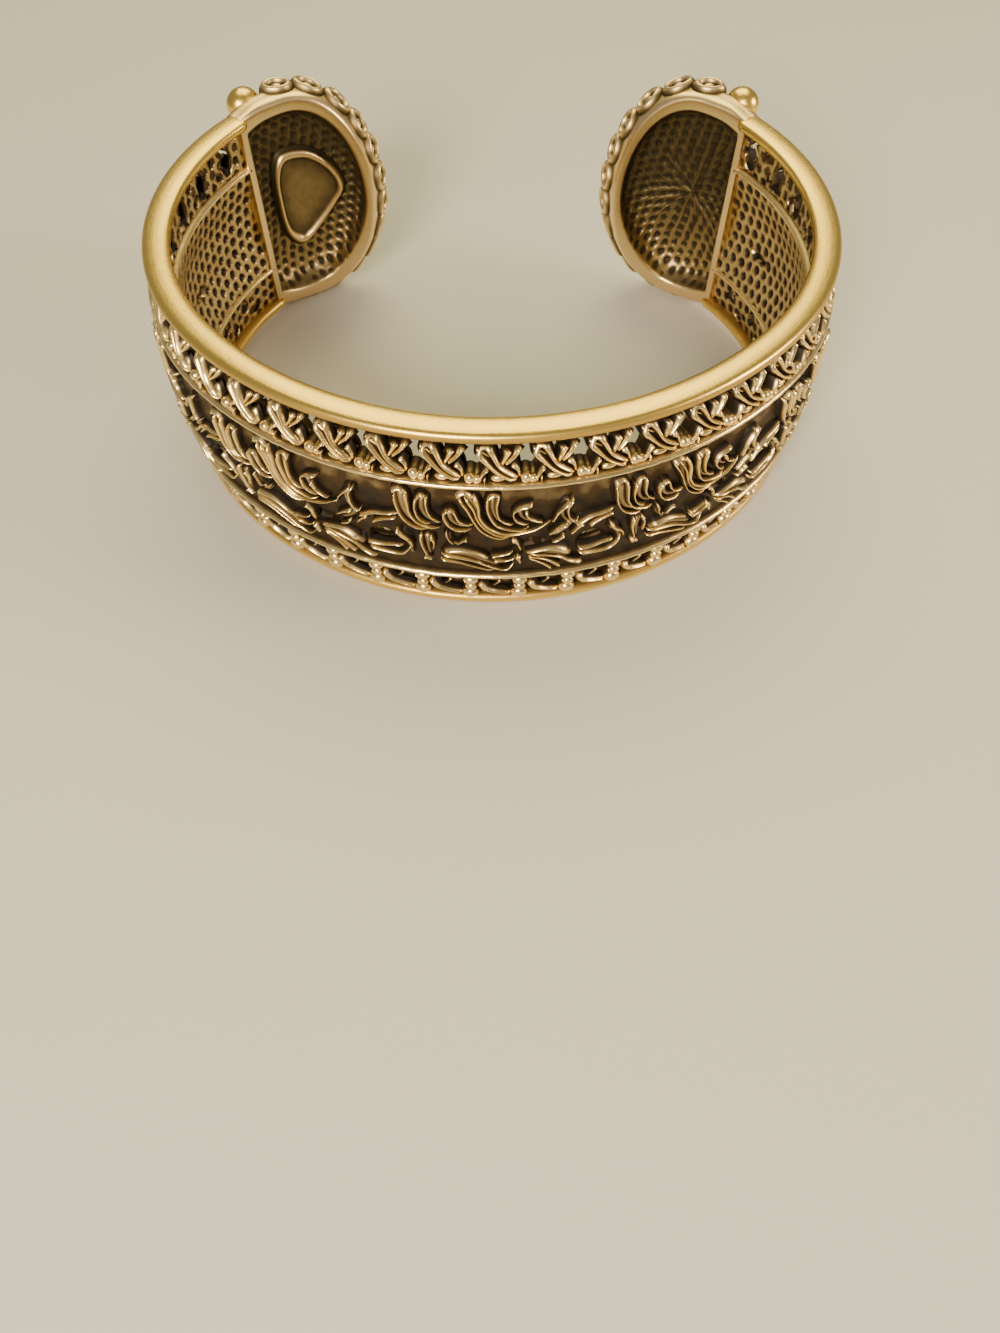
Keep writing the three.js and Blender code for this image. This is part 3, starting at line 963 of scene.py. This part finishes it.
# Ends. A hollow-backed cartouche on each side of the gap, cast with the band:
# a smooth lip round a pebbled hollow, a domed front and an edge of small
# curled scallops.
end_half = 12.15
end_centre = 0.37 * end_length
end_short_of_tip = 0.45
end_reach = end_length - end_short_of_tip - end_centre
end_roundness = 2.1
end_point_below = 0.15
end_overlap = 0.35
end_shoulder = 18.0
end_blend = 3.0
end_junction = {"lowered": 0.985, "below_rim": 0.05, "floor": -0.75}
junction_part = {"to_band": (0.1, 0.6), "outward": (0.35, 0.8)}
end_lip_from = 0.93

# The lip is broader at the end's lower corner, towards its tip
end_slant = {"shift": 0.06, "below": (0.1, -0.9), "to_tip": (-0.3, 0.7), "outward": (0.4, 0.85)}
hollow_steps = 0.42
inner_steps = 0.75
hollow_floor = {"until": 0.76, "gone_by": 0.88}
pebble_scale = 1.2
pebble_depth = 0.24
# The pebbling's pits are dark, and between them it is coloured lighter towards the bottom of the hollow,
# from 2 mm above mid-height to 9 mm below
pebble_tone = {"pit": 0.08, "upper": 0.36, "lower": 0.62, "heights": (2, -9)}
pebble_floor_from = 0.6

# From the hollow's middle round the lip to the middle of the dome: part is the share
# of the way out to the outline, and out how far outward it lies
end_section = (
    {"part": 0.0, "out": 1.5, "wear": 0.3},
    {"part": 0.25, "out": 1.45, "wear": 0.3},
    {"part": 0.5, "out": 1.25, "wear": 0.3},
    {"part": 0.68, "out": 0.95, "wear": 0.25},
    {"part": 0.78, "out": 0.4, "wear": 0.15},
    {"part": 0.84, "out": -0.5, "wear": 0.35},
    {"part": 0.87, "out": -1.1, "wear": 0.8},
    {"part": 0.91, "out": -1.25, "wear": 1.0},
    {"part": 0.965, "out": -1.2, "wear": 1.0},
    {"part": 0.995, "out": -0.7, "wear": 1.0},
    {"part": 1.0, "out": 0.1, "wear": 0.9},
    {"part": 0.995, "out": 1.0, "wear": 0.7},
    {"part": 0.93, "out": 1.6, "wear": 0.6},
    {"part": 0.76, "out": 2.1, "wear": 0.7},
    {"part": 0.4, "out": 2.75, "wear": 0.8},
    {"part": 0.0, "out": 3.0, "wear": 0.8},
)
scallop = {"length": 3.05, "overlap": 1.08, "middle": 0.85, "half_out": 1.3, "height": 0.6, "sunk": 0.6}
scallop_section = (
    {"part": 0.0, "high": 0.62, "wear": 0.9},
    {"part": 0.22, "high": 0.55, "wear": 0.8},
    {"part": 0.42, "high": 0.1, "wear": 0.1},
    {"part": 0.6, "high": 0.85, "wear": 0.9},
    {"part": 0.78, "high": 0.95, "wear": 1.0},
    {"part": 0.95, "high": 0.3, "wear": 0.4},
    {"part": 1.0, "high": -0.6, "wear": 0.1},
    {"part": 0.5, "high": -1.1, "wear": 0.1},
    {"part": 0.0, "high": -1.1, "wear": 0.1},
)
scallop_way_round = 0.54
scallop_twist = 0.12
outline_steps = 240

# The hollow keeps most of its dark wash, olive over the cast metal
washed_gold = gold(
    "cast_gold_brass_under_wash",
    ((0.0, "#15110A"), (0.3, "#4B412B"), (0.6, "#A48E66"), (0.85, "#F2D49C")),
    rough_worn=0.3,
    rough_recess=0.6,
    grain=0.2,
    scratches=0.3,
)


def end_outline(turn):
    """The end's outline from its middle: square where it leaves the band, round at its tip
    and a little more pointed below."""
    cosine, sine = math.cos(turn), math.sin(turn)
    roundness = end_roundness - end_point_below * (sine < 0)
    half_long = end_shoulder if cosine < 0 else end_reach
    shares = abs(cosine / half_long) ** roundness + (abs(sine) / end_half) ** roundness
    reach = shares ** (-1 / roundness)
    reach = min(reach, (end_centre + end_overlap) / max(-cosine, 1e-6))
    return reach * cosine, reach * sine


def pebbled(along, up):
    """The hollow's cast pebbling, from 0 in its pits to 1 between them."""
    return 1 - smooth(0.0, pebble_floor_from, pit(along * pebble_scale, up * pebble_scale))


def end(form, side):
    """One hollow end: its section swept round its outline, pebbled in the hollow and
    drawn in to the rims where it leaves the band."""
    rows = [(row["part"], row["out"], row["wear"]) for row in end_section]

    def place(t, a):
        part, out, wear = through(rows, t)
        part = max(0, part)
        turn = 2 * math.pi * a
        edge = end_outline(turn)
        cosine, sine = math.cos(turn), math.sin(turn)
        if part < end_lip_from:
            low_corner = smooth(*end_slant["below"], sine) * smooth(*end_slant["to_tip"], cosine)
            part -= end_slant["shift"] * low_corner * smooth(*end_slant["outward"], part)
        along, up = end_centre + part * edge[0], part * edge[1]
        to_band, outward = junction_part["to_band"], junction_part["outward"]
        toward_band = smooth(*to_band, -cosine) * smooth(*outward, part)
        near_band = smooth(end_blend, 0, along)
        if t < hollow_steps:
            bump = pebbled(side * along, up)
            floor_share = 1 - smooth(hollow_floor["until"], hollow_floor["gone_by"], part)
            out += pebble_depth * (1 - bump) * floor_share
            downward = smooth(*pebble_tone["heights"], up)
            lightened = mixed(pebble_tone["upper"], pebble_tone["lower"], downward)
            wear = mixed(wear, mixed(pebble_tone["pit"], lightened, bump), floor_share)
        if t < inner_steps:
            out = mixed(out, max(out, end_junction["floor"]), toward_band)
        else:
            out = mixed(out, min(out, rim_depth / 2 - end_junction["below_rim"]), near_band)
        up *= mixed(1, end_junction["lowered"], near_band)
        return side * (band_half + along), up, out, wear

    grown(form, steps=90, around=280, place=place)


def scallops(form, side):
    """The edge's curled leaves: each a ring round a small pad, with a dark groove between."""
    scallop_rows = [(row["part"], row["high"], row["wear"]) for row in scallop_section]
    shares = [step / outline_steps - 0.5 for step in range(outline_steps + 1)]
    points = [end_outline(share * 2 * math.pi * scallop_way_round) for share in shares]
    lengths = [0.0]
    for a, b in zip(points, points[1:]):
        lengths.append(lengths[-1] + math.dist(a, b))
    count = round(lengths[-1] / scallop["length"])
    for index in range(count):
        middle = (index + 0.5) / count * lengths[-1]
        at = max(i for i, length in enumerate(lengths[:-1]) if length <= middle)
        a, b = points[at], points[at + 1]
        size = math.dist(a, b)
        tx, ty = (b[0] - a[0]) / size, (b[1] - a[1]) / size
        nx, ny = ty, -tx

        def place(t, u, a=a, tx=tx, ty=ty, nx=nx, ny=ny):
            part, rise, worn = through(scallop_rows, t)
            turn = 2 * math.pi * u
            curl = 1 + scallop_twist * math.sin(2 * turn)
            along = scallop["length"] / 2 * scallop["overlap"] * max(0, part) * curl * math.cos(turn)
            out = scallop["middle"] + scallop["half_out"] * max(0, part) * curl * math.sin(turn)
            high = scallop["height"] * rise if rise > 0 else scallop["sunk"] * rise
            x, y = a[0] + tx * along + nx * high, a[1] + ty * along + ny * high
            return side * (band_half + end_centre + x), y, out, worn

        grown(form, steps=18, around=22, place=place)


for name, side in (("left_end", -1), ("right_end", 1)):
    end_form = new_form()
    end(end_form, side)
    scallops(end_form, side)
    end_piece = finished(name, end_form, washed_gold)
    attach(end_piece, "root")
    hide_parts("cuff")


# Balls. A small ball on the outside of each corner where a rim meets an end,
# cast with the cuff and polished like the rims.
ball = {"diameter": 3.2, "past_band": 2.5, "level": 11.1, "outward": 1.95, "rub": (-1.3, 0.3)}

balls_form = new_form()
for side in (-1, 1):
    for end_of in (-1, 1):

        def ball_place(t, a, side=side, end_of=end_of):
            tilt, turn = math.pi * t, 2 * math.pi * a
            radius = ball["diameter"] / 2
            along = band_half + ball["past_band"] + radius * math.sin(tilt) * math.cos(turn)
            out = ball["outward"] + radius * math.sin(tilt) * math.sin(turn)
            up = ball["level"] + radius * math.cos(tilt)
            above = up - ball["level"] + out - ball["outward"]
            return side * along, end_of * up, out, smooth(*ball["rub"], above)

        grown(balls_form, steps=24, around=36, place=ball_place)
balls = finished("balls", balls_form, satin_gold)
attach(balls, "root")
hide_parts("cuff")


# Plaque. A small shield in the hollow of the left end, cast with it, with a
# raised border round a bare field.
plaque_outline = (
    (4.6, 5.1),
    (3.6, 2.9),
    (3.45, 0.0),
    (3.6, -3.0),
    (4.2, -5.0),
    (5.6, -6.1),
    (7.6, -4.6),
    (10.1, -1.6),
    (11.1, 0.3),
    (10.4, 2.5),
    (8.6, 4.4),
    (6.8, 5.2),
)
plaque_middle = (6.5, 0.1)
plaque_section = (
    {"part": 0.0, "out": 0.85, "wear": 0.5},
    {"part": 0.4, "out": 0.85, "wear": 0.5},
    {"part": 0.74, "out": 0.85, "wear": 0.35},
    {"part": 0.8, "out": 0.75, "wear": 0.3},
    {"part": 0.87, "out": 0.48, "wear": 1.0},
    {"part": 0.94, "out": 0.5, "wear": 1.0},
    {"part": 1.0, "out": 0.9, "wear": 0.3},
    {"part": 0.98, "out": 1.6, "wear": 0.1},
    {"part": 0.0, "out": 1.7, "wear": 0.1},
)

plaque_form = new_form()
plaque_rows = [(row["part"], row["out"], row["wear"]) for row in plaque_section]


def plaque_place(t, a):
    """A point of the plaque: its section swept round its outline, into the hollow."""
    part, out, wear = through(plaque_rows, t)
    edge = through(plaque_outline, a, closed=True)
    along = mixed(plaque_middle[0], edge[0], max(0, part))
    up = mixed(plaque_middle[1], edge[1], max(0, part))
    return -(band_half + along), up, out, wear


grown(plaque_form, steps=40, around=110, place=plaque_place)
plaque = finished("plaque", plaque_form, washed_gold)
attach(plaque, "root")
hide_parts("cuff")
